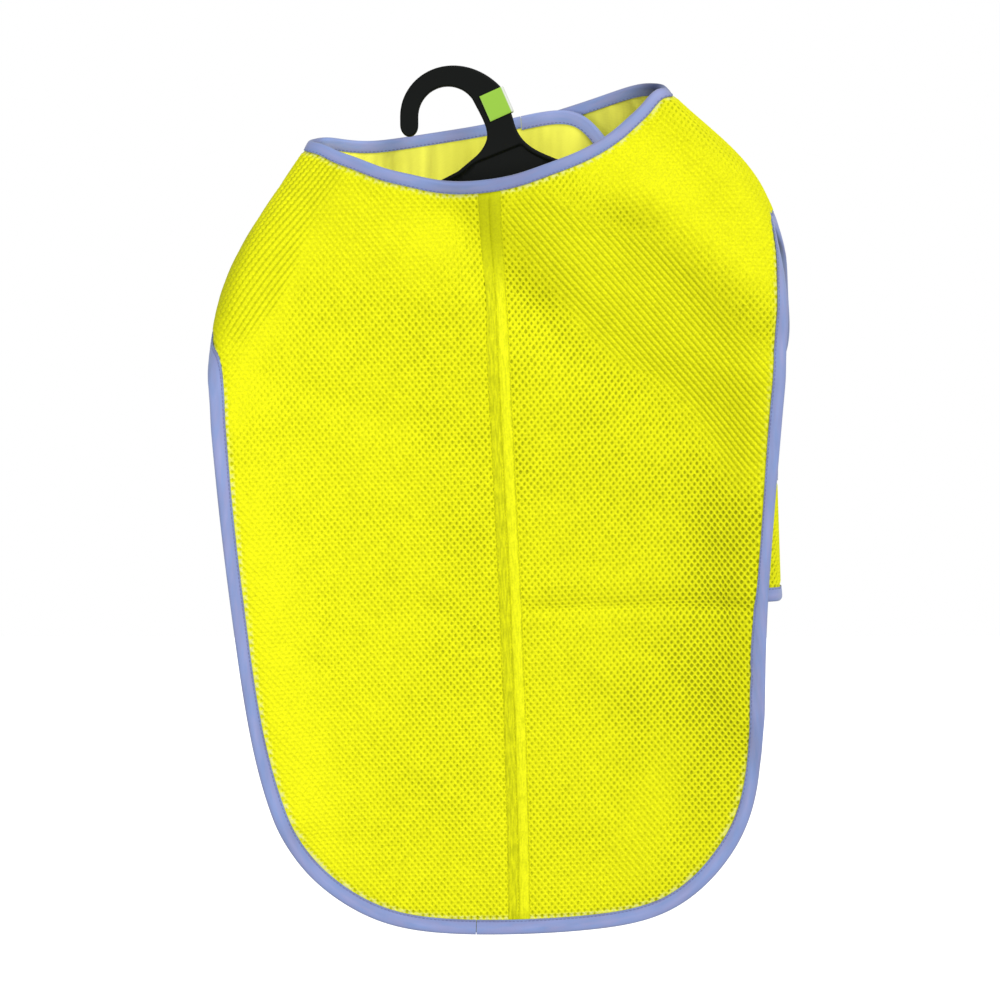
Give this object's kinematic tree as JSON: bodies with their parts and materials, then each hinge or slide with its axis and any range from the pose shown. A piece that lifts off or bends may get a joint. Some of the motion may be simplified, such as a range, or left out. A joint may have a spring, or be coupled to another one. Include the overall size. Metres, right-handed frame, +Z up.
{
  "type": "dog cooling vest on a hanger",
  "caption": "Dog cooling vest of yellow mesh with lilac edge tape, closing behind with chest flaps and belly straps, hung flat on a black plastic hanger.",
  "frame": {"origin": "where a rail touches the inside of the hook at its top, at mid thickness", "axes": "+X to the right across the back panel as seen from outside it, +Y from the back panel through to the chest flaps, +Z up"},
  "size_m": [0.4497, 0.0947, 0.6737],
  "materials": {
    "mesh": "matte knitted spacer mesh",
    "lining": "smooth knit",
    "seam": "flat felled strip",
    "tape": "woven tape with a slight sheen",
    "hook_and_loop": "hook-and-loop tape",
    "hanger": "black, satin moulded",
    "clip": "green, satin"
  },
  "bodies": {
    "root": {"half_left": "mesh", "half_right": "mesh", "lining_left": "lining", "lining_right": "lining", "centre_seam": "seam", "binding_neck": "tape", "binding_left": "tape", "binding_right": "tape", "belly_strap_left": "mesh", "belly_strap_right": "mesh", "belly_binding_left": "tape", "belly_binding_right": "tape", "chest_loop": "hook_and_loop", "chest_hook": "hook_and_loop", "belly_loop": "hook_and_loop", "belly_hook": "hook_and_loop", "hanger": "hanger", "size_clip": "clip"}
  },
  "joints": []
}
